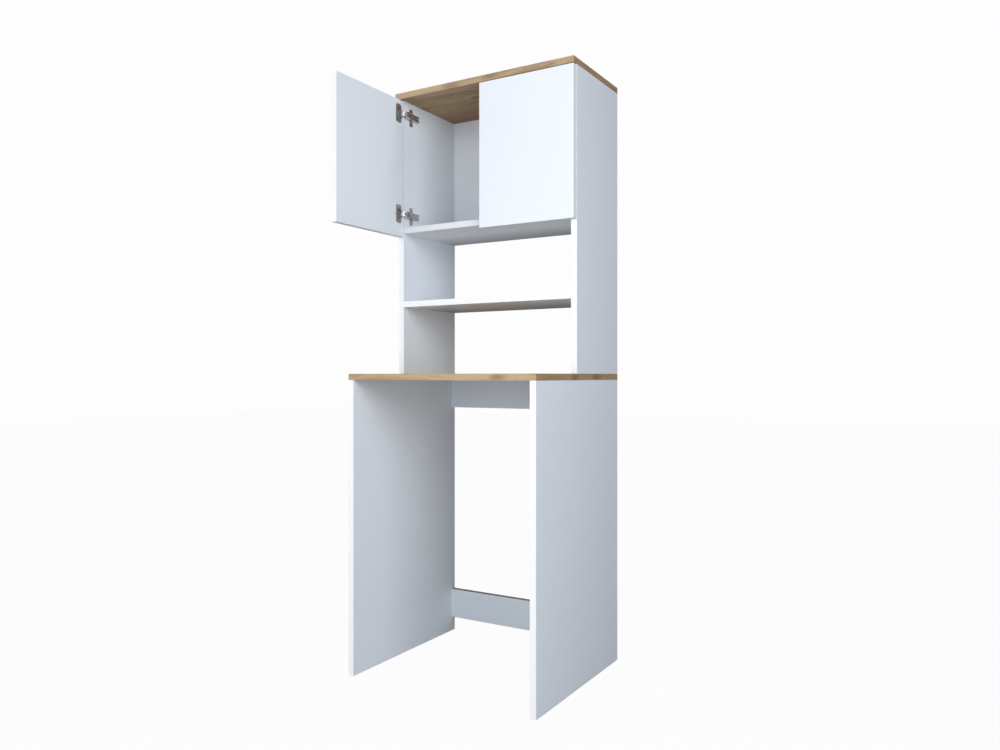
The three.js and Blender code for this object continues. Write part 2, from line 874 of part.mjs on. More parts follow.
// A group that stands at a point of the hinge's plan and is turned there.
function planGroup(side, name, point, angle) {
  const hand = side === 'left' ? 1 : -1;
  const corner = side === 'left' ? boardThickness : cabinetWidth - boardThickness;
  const group = new THREE.Group();
  group.name = `${side} ${name}`;
  group.position.set(corner + hand * point[0], upperFront + point[1], 0);
  group.rotation.z = hand * angle;
  cabinet.add(group);
  return group;
}

for (const side of sides) {
  const angle = side === 'left' ? leftDoorAngle : rightDoorAngle;
  const fixed = planGroup(side, 'hinge mounts', [0, 0], 0);
  addAtBothLevels(fixed, 'plate', side, hingePlate, nickelSteel, 0, 0);
  addAtBothLevels(fixed, 'arm', side, hingeArm, nickelSteel, 0, 0);
  const inner = planGroup(side, 'inner links', innerPivots.arm, innerTurnShare * angle);
  addAtBothLevels(inner, 'inner_link', side, innerLink, nickelSteel, 0, 0);
  const outer = planGroup(side, 'outer links', outerPivots.arm, outerTurnShare * angle);
  addAtBothLevels(outer, 'outer_link', side, outerLink, nickelSteel, 0, 0);
  const door = planGroup(side, 'door', doorPin(angle), -angle);
  addAtBothLevels(door, 'cup', side, hingeCup, nickelSteel, -innerPinFromEdge, pinDepth);
  const leaf = geometryFrom(doorSolid().translate([-innerPinFromEdge, pinDepth, 0]));
  const panel = new THREE.Mesh(side === 'left' ? leaf : mirrored(leaf), whiteMelamine());
  panel.name = `door_${side}`;
  door.add(panel);
}

// The open door reaches in front of the base. The origin goes under the middle of both.
const openDoorFront = upperFront + doorPin(leftDoorAngle)[1] - (doorWidth - innerPinFromEdge);
cabinet.position.set(-cabinetWidth / 2, -(openDoorFront + baseDepth) / 2, 0);
cabinet.updateMatrixWorld(true);

export default cabinet;
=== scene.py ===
# %% [markdown]
# This lesson dresses a tall cabinet that stands over a washing machine. Its boards are white
# melamine-faced chipboard and oak decor, and its doors hang on concealed hinges. The packed
# model gives every board and hinge its exact size and place, so the lesson starts from it and
# never moves it: it adds the finishes, the soft edges and the small fasteners.

from itertools import cycle
from math import pi, radians

import bmesh
import bpy
from mathutils import Matrix, Vector


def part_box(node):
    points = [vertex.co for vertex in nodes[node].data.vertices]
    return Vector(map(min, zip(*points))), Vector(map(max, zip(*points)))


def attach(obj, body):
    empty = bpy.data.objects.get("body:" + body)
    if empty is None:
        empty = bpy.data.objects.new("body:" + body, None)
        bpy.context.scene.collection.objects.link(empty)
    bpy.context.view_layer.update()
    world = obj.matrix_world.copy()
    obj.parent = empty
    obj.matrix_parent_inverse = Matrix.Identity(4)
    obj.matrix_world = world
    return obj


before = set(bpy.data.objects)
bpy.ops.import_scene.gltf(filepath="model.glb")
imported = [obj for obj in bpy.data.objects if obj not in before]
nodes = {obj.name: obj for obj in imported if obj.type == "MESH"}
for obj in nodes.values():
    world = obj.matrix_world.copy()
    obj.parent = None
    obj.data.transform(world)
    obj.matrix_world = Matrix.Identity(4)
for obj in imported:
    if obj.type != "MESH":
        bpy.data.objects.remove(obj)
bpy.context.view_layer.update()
MM = 0.001

# %% [markdown]
# The camera stands where the photographer's stood: about two and a half metres away, in front
# and to the right, as high as the worktop and level. A level camera keeps the cabinet's upright
# edges upright in the picture, and its height puts the picture's middle line at the worktop.
# The lens is raised by about half a pixel, because a fit to the photo's edges asked for it.

# %% Camera
CAMERA_PLACE = (1.3704, -2.1671, 0.9144)
CAMERA_TILT, CAMERA_YAW = 90, 30.93
LENS, SENSOR = 29.8, 36
LENS_RISE = 0.0006
FARTHEST_SEEN = 60


def placed(name, data):
    """A new object in the scene."""
    obj = bpy.data.objects.new(name, data)
    bpy.context.scene.collection.objects.link(obj)
    return obj


camera_data = bpy.data.cameras.new("camera")
camera_data.lens = LENS
camera_data.sensor_width = SENSOR
camera_data.shift_y = LENS_RISE
camera_data.clip_end = FARTHEST_SEEN
camera = placed("camera", camera_data)
camera.location = CAMERA_PLACE
camera.rotation_euler = (radians(CAMERA_TILT), 0, radians(CAMERA_YAW))
bpy.context.scene.camera = camera
bpy.context.scene.view_settings.view_transform = "Standard"
print("camera:", LENS, "mm lens at", CAMERA_PLACE)

# %% [markdown]
# Every finish below is a small net of shader nodes. Three helpers keep such a net readable. A
# Wire stands for one output of a node and lets maths be written as plain expressions. A Net
# adds any node with its settings, for a material or for the sky. A Finish is a material's net
# with the principled shader, and has the few patterns that the finishes share.

# %% Wires between nodes
class Wire:
    """One output of a shader node."""

    def __init__(self, net, socket):
        self.net, self.socket = net, socket

    def maths(self, operation, *values):
        return self.net.node("Math", {"operation": operation}, dict(enumerate(values)))

    def __add__(self, other):
        return self.maths("ADD", self, other)

    def __sub__(self, other):
        return self.maths("SUBTRACT", self, other)

    def __rsub__(self, other):
        return self.maths("SUBTRACT", other, self)

    def __mul__(self, other):
        return self.maths("MULTIPLY", self, other)

    def __truediv__(self, other):
        return self.maths("DIVIDE", self, other)

    def __rtruediv__(self, other):
        return self.maths("DIVIDE", other, self)

    def __lt__(self, other):
        return self.maths("LESS_THAN", self, other)

    def __gt__(self, other):
        return self.maths("GREATER_THAN", self, other)

    def __abs__(self):
        return self.maths("ABSOLUTE", self)

    def larger(self, other):
        return self.maths("MAXIMUM", self, other)

    __radd__ = __add__
    __rmul__ = __mul__


print("wires: sums, products, shares, limits and the larger of two")


# %% Nets of nodes
class Net:
    """The nodes of a material or of the sky, with their output."""

    def __init__(self, owner, output):
        owner.use_nodes = True
        self.tree = owner.node_tree
        self.tree.nodes.clear()
        self.output = self.tree.nodes.new("ShaderNode" + output)

    def fill(self, shader_node, sockets):
        for key, value in sockets.items():
            socket = shader_node.inputs[key]
            if isinstance(value, Wire):
                self.tree.links.new(value.socket, socket)
            elif socket.type == "RGBA" and len(value) == 3:
                socket.default_value = (*value, 1)
            else:
                socket.default_value = value

    def node(self, kind, settings=None, sockets=None, out=0):
        """Adds a node: its settings first, then the values or links of its sockets."""
        made = self.tree.nodes.new("ShaderNode" + kind)
        for key, value in (settings or {}).items():
            if key == "stops":
                ramp = made.color_ramp
                while len(ramp.elements) < len(value):
                    ramp.elements.new(1)
                for element, (place, colour) in zip(ramp.elements, value):
                    element.position, element.color = place, (*colour, 1)
            else:
                setattr(made, key, value)
        self.fill(made, sockets or {})
        return Wire(self, made.outputs[out])

    def show(self, shader):
        """Joins a shader to the output."""
        self.fill(self.output, {"Surface": shader})


print("nets: any node, with its settings and sockets")

# %% Finishes
# A noise stays mostly within its range, and about half of it within its core.
NOISE_RANGE, NOISE_CORE = (0.3, 0.7), (0.35, 0.65)


class Finish(Net):
    """A material made of nodes, with one principled shader."""

    def __init__(self, name):
        self.material = bpy.data.materials.new(name)
        super().__init__(self.material, "OutputMaterial")
        self.shader = self.node("BsdfPrincipled")
        self.show(self.shader)

    def place(self):
        return self.node("TexCoord", out="Object")

    def split(self, vector):
        separated = self.node("SeparateXYZ", sockets={0: vector})
        return [Wire(self, socket) for socket in separated.socket.node.outputs]

    def join(self, x, y, z):
        return self.node("CombineXYZ", sockets={0: x, 1: y, 2: z})

    def facing(self):
        """The way the surface faces, as its x, y and z."""
        return self.split(self.node("NewGeometry", out="Normal"))

    def stretch(self, vector, scale):
        return self.node("VectorMath", {"operation": "MULTIPLY"}, {0: vector, 1: scale})

    def noise(self, vector, scale, detail=2, roughness=0.5):
        return self.node("TexNoise", sockets={
            "Vector": vector, "Scale": scale, "Detail": detail, "Roughness": roughness,
        })

    def span(self, value, low, high, to_low=0, to_high=1):
        """Turns low..high into to_low..to_high, and stops there."""
        return self.node("MapRange", {"clamp": True}, {
            "Value": value, "From Min": low, "From Max": high, "To Min": to_low, "To Max": to_high,
        })

    def blend(self, share, first, second, way="MIX"):
        """A mix of two colours."""
        settings = {"data_type": "RGBA", "blend_type": way}
        return self.node("Mix", settings, {0: share, 6: first, 7: second}, out=2)

    def bump(self, height, distance, strength):
        normal = self.node("Bump", sockets={
            "Height": height, "Distance": distance, "Strength": strength,
        })
        self.surface(normal=normal)

    def surface(self, **sockets):
        """Fills sockets of the principled shader, given by their names in small letters."""
        for key, value in sockets.items():
            name = key.replace("_", " ").title().replace("Ior", "IOR")
            self.fill(self.shader.socket.node, {name: value})


print("finishes: place, facing, noise, span, blend, bump and surface")

# %% [markdown]
# Melamine is a printed paper pressed on chipboard. The white kind is not a flat white: it has
# a fine pearl grain that breaks its gloss, and it is a little cool. Each edge that shows is
# closed by a plastic band under a millimetre thick. The band is slightly brighter and smoother
# than the face, and a hairline of glue shows where it ends. An edge that nobody sees is left
# as it was sawn, so its grey-brown chips show. Both follow the board, so each board's finish is
# told where its own banded and raw edges lie. The two rails at the rear of the machine bay have
# a darker white, which is painted shade. The left base side's band is a lighter white of painted
# light, the cupboard floor's band is a darker white of painted shade, and the right door's bands
# take the face's white.

# %% Whites, bands and chips
MELAMINE_WHITE = (0.84, 0.873, 0.905)
BAND_WHITE = (0.905, 0.92, 0.93)
GLUE_GREY = (0.5, 0.48, 0.45)
CHIP_PALE, CHIP_DARK = (0.4, 0.37, 0.335), (0.155, 0.147, 0.14)
BAND_THICKNESS = 0.8 * MM
GLUE_LINE = 0.09 * MM
SAWN_SKIN = 0.1 * MM

# The two rails stand at the rear of the machine bay, and their darker whites are painted shade.
RAIL_WHITES_PAINTED_SHADE = {"rail_upper": (0.78, 0.845, 0.915), "rail_lower": (0.745, 0.81, 0.87)}
# Band whites: the left base side's is lighter, which is painted light; the cupboard floor's is
# darker, which is painted shade; the right door's bands take the face's white.
BAND_OWN_WHITES_AND_PAINTED_LIGHT = {
    "base_side_left": (0.95, 0.96, 0.965),
    "cupboard_floor": (0.773, 0.79, 0.805),
    "door_right": MELAMINE_WHITE,
}
# Little light reaches the rear of the two shelves' undersides, so painted shade darkens the white
# there, and painted light brightens it at the front: the tone at the front, the tone at the rear,
# and the share of the depth that keeps the first one.
UNDERSIDE_PAINTED_LIGHT_AND_SHADE = {
    "cupboard_floor": ((1.1, 1.065, 1.03), (0.56, 0.56, 0.57), 0.45),
    "mid_shelf": ((1.07, 1.05, 1.03), (0.36, 0.33, 0.33), 0.1),
}
print("boards and bands with a white of their own:", [*RAIL_WHITES_PAINTED_SHADE, *BAND_OWN_WHITES_AND_PAINTED_LIGHT])

# %% Edges and undersides of a board
CHIP_SIZES, CRUMB_SCALE = (260, 260, 420), 700
CHIP_SHARE, CRUMB_SHARE = 0.6, 0.4
CHIP_CONTRAST = (0.25, 0.65)
FACES_DOWN = -0.6


def edge_masks(axes, edges, measure):
    """The union of a measure over edges, each an axis, the way inward and the edge's place."""
    mask = None
    for axis, inward, place in edges:
        here = measure((axes[axis] - place) * inward)
        mask = here if mask is None else mask.larger(here)
    return mask


def sawn_chipboard(finish, place):
    """The colour of a sawn edge: pale chips of many sizes pressed among dark ones."""
    chips = finish.node("TexVoronoi", {"feature": "F1"}, {
        "Vector": finish.stretch(place, CHIP_SIZES), "Scale": 1,
    }, out="Color")
    crumbs = finish.noise(place, CRUMB_SCALE, detail=3, roughness=0.6)
    shade = finish.split(chips)[0] * CHIP_SHARE + crumbs * CRUMB_SHARE
    return finish.blend(finish.span(shade, *CHIP_CONTRAST), CHIP_DARK, CHIP_PALE)


def front_and_rear(board):
    return [corner[1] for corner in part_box(board)]


def paint_underside_light_and_shade(finish, colour, y, board, at_front, at_rear, steady):
    """Paints light and shade on a board's underside, from one tone at its front edge to another at
    its rear.
    """
    front, rear = front_and_rear(board)
    shaded_underside = finish.facing()[2] < FACES_DOWN
    tone = finish.blend(
        finish.span(y, front + steady * (rear - front), rear), at_front, at_rear)
    return finish.blend(shaded_underside, colour, finish.blend(1, colour, tone, "MULTIPLY"))


print("edges: banded or sawn; undersides toned:", [*UNDERSIDE_PAINTED_LIGHT_AND_SHADE])

# %% White melamine
CLOUD_SCALE, PEARL_SCALE, WEAVE_SCALE = 2.3, 950, 260
CLOUD_DIMS_TO = 0.985
PEARL_SHARE, WEAVE_SHARE = 0.6, 0.4
PEARL_HEIGHT = 0.03 * MM
MELAMINE_ROUGHNESS, MELAMINE_SHINE = (0.62, 0.72), 0.16
BAND_SMOOTHER, SAWN_ROUGHER = 0.14, 0.2
GLUE_SHOWS, GLUE_SINKS = 0.5, 1.5


def melamine(board, banded, sawn):
    """A board's white, with its banded and its sawn edges."""
    white = RAIL_WHITES_PAINTED_SHADE.get(board, MELAMINE_WHITE)
    finish = Finish(board + "_white")
    place = finish.place()
    axes = finish.split(place)
    cloud = finish.span(finish.noise(place, CLOUD_SCALE, detail=3), *NOISE_CORE)
    pearl = finish.noise(place, PEARL_SCALE, roughness=0.6)
    weave = finish.noise(place, WEAVE_SCALE, roughness=0.55)
    colour = finish.blend(cloud, [c * CLOUD_DIMS_TO for c in white], white)
    # Painted light at the front of the underside, and painted shade towards its rear.
    if board in UNDERSIDE_PAINTED_LIGHT_AND_SHADE:
        colour = paint_underside_light_and_shade(finish, colour, axes[1], board, *UNDERSIDE_PAINTED_LIGHT_AND_SHADE[board])
    rough = finish.span(pearl, *NOISE_RANGE, *MELAMINE_ROUGHNESS)
    height = pearl * PEARL_SHARE + weave * WEAVE_SHARE
    if banded:
        band = edge_masks(axes, banded, lambda depth: depth < BAND_THICKNESS)
        glue = edge_masks(axes, banded, lambda depth: abs(depth - BAND_THICKNESS) < GLUE_LINE)
        colour = finish.blend(band, colour, BAND_OWN_WHITES_AND_PAINTED_LIGHT.get(board, BAND_WHITE))
        colour = finish.blend(glue * GLUE_SHOWS, colour, GLUE_GREY)
        rough = rough - band * BAND_SMOOTHER
        height = height - glue * GLUE_SINKS
    if sawn:
        bare = edge_masks(axes, sawn, lambda depth: depth < SAWN_SKIN)
        colour = finish.blend(bare, colour, sawn_chipboard(finish, place))
        rough = rough + bare * SAWN_ROUGHER
    finish.surface(base_color=colour, roughness=rough, specular_ior_level=MELAMINE_SHINE)
    finish.bump(height, PEARL_HEIGHT, strength=0.5)
    return finish.material


print("melamine: roughness", MELAMINE_ROUGHNESS, "on a face, and", BAND_SMOOTHER, "less on a band")

# %% [markdown]
# A bevelled arris is what tells the eye that a board is real: no factory edge is a perfect
# knife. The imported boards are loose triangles, so a Weld modifier closes them first. A planar
# Decimate then turns each flat face into one polygon, because a bevel can fold the long thin
# triangles beside a hole. Last, a Bevel breaks only the sharp edges by a few tenths of a
# millimetre.

# %% Soft edges
WELD_GAP = 0.002 * MM
FLAT_WITHIN = 0.5
ARRIS_STEPS = 2
SHARP_ANGLE = 30


def soften(node, width, angle=SHARP_ANGLE):
    obj = nodes[node]
    weld = obj.modifiers.new("weld", "WELD")
    weld.merge_threshold = WELD_GAP
    flat = obj.modifiers.new("flat", "DECIMATE")
    flat.decimate_type = "DISSOLVE"
    flat.angle_limit = radians(FLAT_WITHIN)
    edge = obj.modifiers.new("arris", "BEVEL")
    edge.width = width
    edge.segments = ARRIS_STEPS
    edge.limit_method = "ANGLE"
    edge.angle_limit = radians(angle)
    edge.use_clamp_overlap = True
    return obj


def give(obj, material):
    obj.data.materials.clear()
    obj.data.materials.append(material)


print("soft edges:", ARRIS_STEPS, "steps over each edge sharper than", SHARP_ANGLE, "degrees")

# %% White boards
BOARD_ARRIS = 0.4 * MM
# An edge is an axis, the way inward along it, and the end of the board's box that it lies at.
FRONT, REAR = (1, 1, 0), (1, -1, 1)
LEFT, RIGHT = (0, 1, 0), (0, -1, 1)
BOTTOM, TOP = (2, 1, 0), (2, -1, 1)
# The edges of each board that are banded, then those that are left sawn.
EDGES = {
    "base_side_left": ([FRONT, REAR], [BOTTOM, TOP]),
    "base_side_right": ([FRONT, REAR], [BOTTOM, TOP]),
    "upper_side_left": ([FRONT, REAR], [BOTTOM, TOP]),
    "upper_side_right": ([FRONT, REAR], [BOTTOM, TOP]),
    "rail_upper": ([BOTTOM], [TOP]),
    "rail_lower": ([BOTTOM], [TOP]),
    "mid_shelf": ([FRONT, REAR], []),
    "cupboard_floor": ([FRONT], [REAR]),
    "door_left": ([FRONT, REAR, BOTTOM, TOP], []),
    "door_right": ([LEFT, RIGHT, BOTTOM, TOP], []),
}


def placed_edges(board, edges):
    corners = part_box(board)
    return [(axis, inward, corners[end][axis]) for axis, inward, end in edges]


for board, (banded, sawn) in EDGES.items():
    white = melamine(board, placed_edges(board, banded), placed_edges(board, sawn))
    give(soften(board, BOARD_ARRIS), white)
print("white boards:", len(EDGES))

# %% [markdown]
# The oak is a decor print too, on the worktop and on the top panel. Its grain runs along the
# cabinet's width on the faces and front edges, and along the depth on the side edges, because
# the edge band is a strip of its own. Broad streaks of light and dark, fine fibres and short
# dark pores make it read as oak. Here and there the print has a darker patch of figure, and a
# few small knots that the streaks bend round. The side edges are a shade darker than the
# faces, and a painted shade darkens the underside towards the rear.

# %% Oak colours and grain
OAK_PALE = (0.54, 0.4, 0.25)
OAK_MID = (0.45, 0.322, 0.192)
OAK_DEEP = (0.29, 0.182, 0.1)
OAK_PORE = (0.18, 0.11, 0.06)
OAK_HEART = (0.15, 0.085, 0.045)
OAK_TOASTED = (0.84, 0.75, 0.68)
# The painted shade that darkens the oak's underside towards its rear.
OAK_PAINTED_SHADE = (0.7, 0.57, 0.53)
OAK_STOPS = [(0.35, OAK_DEEP), (0.45, OAK_MID), (0.55, OAK_PALE)]
OAK_ROUGHNESS, OAK_SHINE = (0.6, 0.72), 0.1

# How slowly the grain wanders, and how far that and a knot bend it, in metres.
WANDER_SCALE = (2.4, 8, 8)
WANDER_BENDS, KNOT_BENDS = 0.06, 0.01
# Each layer of the grain: its scale along and across the grain, its detail and its roughness.
GRAIN = {
    "broad": ((1.3, 34, 34), 6, 0.62),
    "streak": ((4.5, 190, 190), 4, 0.6),
    "fibre": ((34, 1500, 1500), 2, 0.5),
    "pores": ((60, 1900, 1900), 1, 0.4),
    "patches": ((9, 34, 34), 3, 0.6),
}
BROAD_SHARE, STREAK_SHARE, FIBRE_SHARE = 0.5, 0.36, 0.14
PATCH_SHOWS, PORE_SHOWS, KNOT_SHOWS = 0.55, 0.5, 0.5
FIBRE_STANDS, PORE_SINKS, GRAIN_HEIGHT = 0.4, 0.8, 0.05 * MM
# Each knot: where its heart lies, and how far it reaches along the width, depth and height.
TOP_KNOTS = [
    ((-0.08, 0.107, 1.821), (0.03, 0.011, 0.004)),
    ((-0.104, -0.0075, 1.829), (0.04, 0.01, 0.014)),
    ((0.041, -0.0075, 1.833), (0.034, 0.01, 0.012)),
]
WORKTOP_KNOTS = [
    ((0.204, -0.237, 0.909), (0.03, 0.01, 0.012)),
    ((0.325, 0.0, 0.908), (0.01, 0.03, 0.013)),
    ((0.325, 0.154, 0.911), (0.01, 0.04, 0.013)),
]
print("grain layers:", [*GRAIN], "and", len(TOP_KNOTS) + len(WORKTOP_KNOTS), "knots")

# %% Oak decor
FACES_SIDE = 0.6


def knot_field(finish, x, y, z, knots):
    """How near a point lies to a knot: 1 in its heart, 0 outside."""
    field = None
    for (kx, ky, kz), (rx, ry, rz) in knots:
        dx = (x - kx) / rx
        dy = (y - ky) / ry
        dz = (z - kz) / rz
        near = finish.span(dx * dx + dy * dy + dz * dz, 0, 1, 1, 0)
        field = near if field is None else field.larger(near)
    return field


def oak(board, name, knots):
    """A board's oak, with its grain along the width, and along the depth on its side edges."""
    finish = Finish(name)
    x, y, z = finish.split(finish.place())
    facing = finish.facing()
    on_side = abs(facing[0]) > FACES_SIDE
    # Painted shade on the underside, growing towards the rear.
    shaded_underside = (facing[2] < FACES_DOWN) * finish.span(y, *front_and_rear(board))
    along = x + on_side * (y - x)
    across = y + on_side * (x - y)
    knot = knot_field(finish, x, y, z, knots)
    path = finish.stretch(finish.join(along, across, z), WANDER_SCALE)
    bend = finish.noise(path, 1, detail=3) * WANDER_BENDS + knot * KNOT_BENDS
    flow = finish.join(along, across + bend, z + bend)
    broad, streak, fibre, pores, patches = [
        finish.noise(finish.stretch(flow, scale), 1, detail, roughness)
        for scale, detail, roughness in GRAIN.values()
    ]
    patch = finish.span(patches, 0.56, 0.74)
    pore = finish.span(pores, 0.6, 0.7) * finish.span(streak, 0.4, 0.6)
    tone = broad * BROAD_SHARE + streak * STREAK_SHARE + fibre * FIBRE_SHARE
    colour = finish.node("ValToRGB", {"stops": OAK_STOPS}, {0: tone})
    colour = finish.blend(patch * PATCH_SHOWS, colour, OAK_DEEP)
    colour = finish.blend(pore * PORE_SHOWS, colour, OAK_PORE)
    colour = finish.blend(knot * KNOT_SHOWS, colour, OAK_HEART)
    colour = finish.blend(on_side, colour, OAK_TOASTED, "MULTIPLY")
    colour = finish.blend(shaded_underside, colour, OAK_PAINTED_SHADE, "MULTIPLY")
    rough = finish.span(fibre, *NOISE_RANGE, *OAK_ROUGHNESS)
    finish.surface(base_color=colour, roughness=rough, specular_ior_level=OAK_SHINE)
    finish.bump(fibre * FIBRE_STANDS - pore * PORE_SINKS, GRAIN_HEIGHT, strength=0.6)
    return finish.material


give(soften("top_panel", BOARD_ARRIS), oak("top_panel", "top_oak", TOP_KNOTS))
give(soften("worktop", BOARD_ARRIS), oak("worktop", "worktop_oak", WORKTOP_KNOTS))
print("oak boards: top_panel and worktop")

# %% [markdown]
# The back of the cupboard is thin hardboard, lacquered white on the side that shows. It is a
# little flatter and greyer than melamine, with a faint orange-peel skin.

# %% White hardboard
LACQUER_DIM, LACQUER_BRIGHT = (0.79, 0.83, 0.885), (0.81, 0.85, 0.9)
LACQUER_ROUGHNESS = (0.5, 0.62)
LACQUER_CLOUD_SCALE = 5
PEEL_SCALE, PEEL_HEIGHT = 420, 0.05 * MM


def hardboard():
    finish = Finish("back_white")
    place = finish.place()
    peel = finish.noise(place, PEEL_SCALE, detail=3, roughness=0.6)
    cloud = finish.span(finish.noise(place, LACQUER_CLOUD_SCALE, detail=3), *NOISE_RANGE)
    colour = finish.blend(cloud, LACQUER_DIM, LACQUER_BRIGHT)
    rough = finish.span(peel, *NOISE_RANGE, *LACQUER_ROUGHNESS)
    finish.surface(base_color=colour, roughness=rough)
    finish.bump(peel, PEEL_HEIGHT, strength=0.5)
    return finish.material


give(nodes["back_panel"], hardboard())
print("back_panel: white hardboard")

# %% [markdown]
# The hinges are pressed steel with a nickel plating. Plating follows the sheet's own fine
# rolling marks, so the gloss is streaky rather than mirror-like. Inside a deep cup the finish
# turns rougher, and a painted shade darkens its colour behind the door's face. The links between
# cup and arm are a darker nickel too. The cams, bolts and connector screws are zinc plated, a
# touch bluer and rougher. The dowels under the worktop are raw beech.

# %% Plated steels
NICKEL, ZINC = (0.62, 0.6, 0.57), (0.66, 0.68, 0.71)
LINK_NICKEL, CUP_NICKEL = (0.4, 0.415, 0.44), (0.54, 0.525, 0.5)
# The painted shade inside a cup: the colour it darkens to, and how far behind the door's face it
# reaches.
CUP_PAINTED_SHADE, CUP_PAINTED_SHADE_DEPTH = (0.38, 0.365, 0.35), 4 * MM
CUP_PAINTED_SHADE_SHOWS, CUP_SHADE_ROUGHER = 0.85, 0.35
ROLLED_ACROSS, ROLLED_ALONG, ROLLED_HEIGHT = 900, 90, 0.02 * MM
STREAK_SMOOTHER, STREAK_ROUGHER = 0.06, 0.08
BLOTCH_SCALE, BLOTCH_DIMS_TO = 160, 0.9


def plated(name, tint, gloss, grain_axis, hollow=None):
    """A plating. The hollow of a cup is the axis that it looks along and its door's face."""
    finish = Finish(name)
    place = finish.place()
    scale = [ROLLED_ACROSS] * 3
    scale[grain_axis] = ROLLED_ALONG
    rolled = finish.noise(finish.stretch(place, scale), 1, detail=3, roughness=0.55)
    blotch = finish.span(finish.noise(place, BLOTCH_SCALE, detail=3), *NOISE_CORE)
    colour = finish.blend(blotch, [c * BLOTCH_DIMS_TO for c in tint], tint)
    rough = finish.span(rolled, *NOISE_RANGE, gloss - STREAK_SMOOTHER, gloss + STREAK_ROUGHER)
    if hollow:
        axis, face = hollow
        # Painted shade: behind the door's face the cup's colour darkens, and its finish turns
        # rougher.
        inside = finish.span(face - finish.split(place)[axis], 0, CUP_PAINTED_SHADE_DEPTH)
        colour = finish.blend(inside * CUP_PAINTED_SHADE_SHOWS, colour, CUP_PAINTED_SHADE)
        rough = rough + inside * CUP_SHADE_ROUGHER
    finish.surface(base_color=colour, metallic=1.0, roughness=rough)
    finish.bump(rolled, ROLLED_HEIGHT, strength=0.4)
    return finish.material


nickel = plated("nickel_plating", NICKEL, 0.3, 1)
link_nickel = plated("nickel_links", LINK_NICKEL, 0.42, 1)
zinc = plated("zinc_plating", ZINC, 0.36, 2)
cup_plating = {
    "left": plated("nickel_cup_left", CUP_NICKEL, 0.36, 1, (0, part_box("door_left")[1][0])),
    "right": plated("nickel_cup_right", CUP_NICKEL, 0.36, 0, (1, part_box("door_right")[1][1])),
}
print("platings: nickel, darker nickel for links and cups, and zinc")

# %% Raw beech
BEECH_DARK, BEECH_PALE, BEECH_ROUGHNESS = (0.5, 0.32, 0.16), (0.66, 0.46, 0.27), 0.75
BEECH_SCALE, BEECH_HEIGHT = (900, 900, 60), 0.1 * MM


def beech():
    finish = Finish("beech_dowel")
    place = finish.stretch(finish.place(), BEECH_SCALE)
    fibre = finish.noise(place, 1, detail=3, roughness=0.55)
    colour = finish.blend(fibre, BEECH_DARK, BEECH_PALE)
    finish.surface(base_color=colour, roughness=BEECH_ROUGHNESS)
    finish.bump(fibre, BEECH_HEIGHT, strength=0.5)
    return finish.material


raw_beech = beech()
print("raw beech for the dowels")


# %% Finishes of the hardware
def hardware_finish(name):
    """The finish of a piece of hardware, or None for a board."""
    if name.startswith("hinge_cup"):
        return cup_plating[name.split("_")[2]]
    if "_link_" in name:
        return link_nickel
    if name.startswith("hinge_"):
        return nickel
    if name.startswith(("cam_", "top_screw", "worktop_screw")):
        return zinc
    if name.startswith("worktop_dowel"):
        return raw_beech
    return None


hardware = [name for name in nodes if hardware_finish(name)]
for name in hardware:
    give(nodes[name], hardware_finish(name))
print("pieces of hardware with a finish:", len(hardware))

# %% [markdown]
# Sheet steel has no knife edges either, so the hardware gets the same treatment as the boards,
# only finer: a cup's wall is 0.7 mm thick and takes a tenth of a millimetre, a mounting plate
# takes three tenths, and a dowel's chamfer more. The steep angle limit leaves the facets of
# round forms alone. The thin back is softened with them.

# %% Soft edges on the hardware
HARDWARE_ARRIS = {
    "hinge_cup": 0.12 * MM,
    "hinge_arm": 0.2 * MM,
    "hinge_plate": 0.3 * MM,
    "hinge_inner": 0.18 * MM,
    "hinge_outer": 0.18 * MM,
    "cam_bolt": 0.15 * MM,
    "cam": 0.25 * MM,
    "top_screw": 0.2 * MM,
    "worktop_screw": 0.2 * MM,
    "worktop_dowel": 0.5 * MM,
    "back_panel": 0.3 * MM,
}
ROUND_FORM_ANGLE = 42
softened = []
for prefix, width in HARDWARE_ARRIS.items():
    for name in nodes:
        if name.startswith(prefix) and name not in softened:
            soften(name, width, ROUND_FORM_ANGLE)
            softened.append(name)
print("softened pieces, with the back:", len(softened))

# %% [markdown]
# The rest of the cabinet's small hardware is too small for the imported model, so it is made
# here. Two tools do most of it. One turns a profile round an axis, as a lathe would. The other
# makes the head of a cross-recess screw from a grid of five by five squares: the middle cross
# is pushed in, the rim is drawn to a circle, the top is domed and the underside tapered.

# %% Lathe
LATHE_STEPS = 12
MERGE_GAP = 0.001 * MM


def set_in_place(work, fresh, place, facing):
    """Moves new vertices from the origin, where they look up, to their place and direction."""
    turn = Vector(facing).to_track_quat("Z", "Y").to_matrix().to_4x4()
    bmesh.ops.transform(work, matrix=Matrix.Translation(place) @ turn, verts=fresh)


def lathe(work, profile, place, facing):
    """Turns a profile of (radius, height) points, in millimetres, once round its axis."""
    old = set(work.verts)
    points = [work.verts.new((radius * MM, 0, height * MM)) for radius, height in profile]
    edges = [work.edges.new(pair) for pair in zip(points, points[1:])]
    bmesh.ops.spin(
        work, geom=points + edges, cent=(0, 0, 0), axis=(0, 0, 1), angle=2 * pi,
        steps=LATHE_STEPS, use_merge=True,
    )
    bmesh.ops.remove_doubles(work, verts=[v for v in work.verts if v not in old], dist=MERGE_GAP)
    set_in_place(work, [v for v in work.verts if v not in old], place, facing)


print("lathe: a full turn in", LATHE_STEPS, "steps")

# %% Screw head
GRID_SQUARES = 5
# The grid runs from -1 to 1, so the middles of its squares lie at 0, 0.4 and 0.8 either way.
IN_LINE, IN_CROSS, ON_RIM = 0.1, 0.5, 0.9
RECESS_DEPTH, RECESS_NARROWS_TO = 1.1, 0.62
SKIRT_DEPTH, SKIRT_NARROWS_TO = 1.0, 0.55


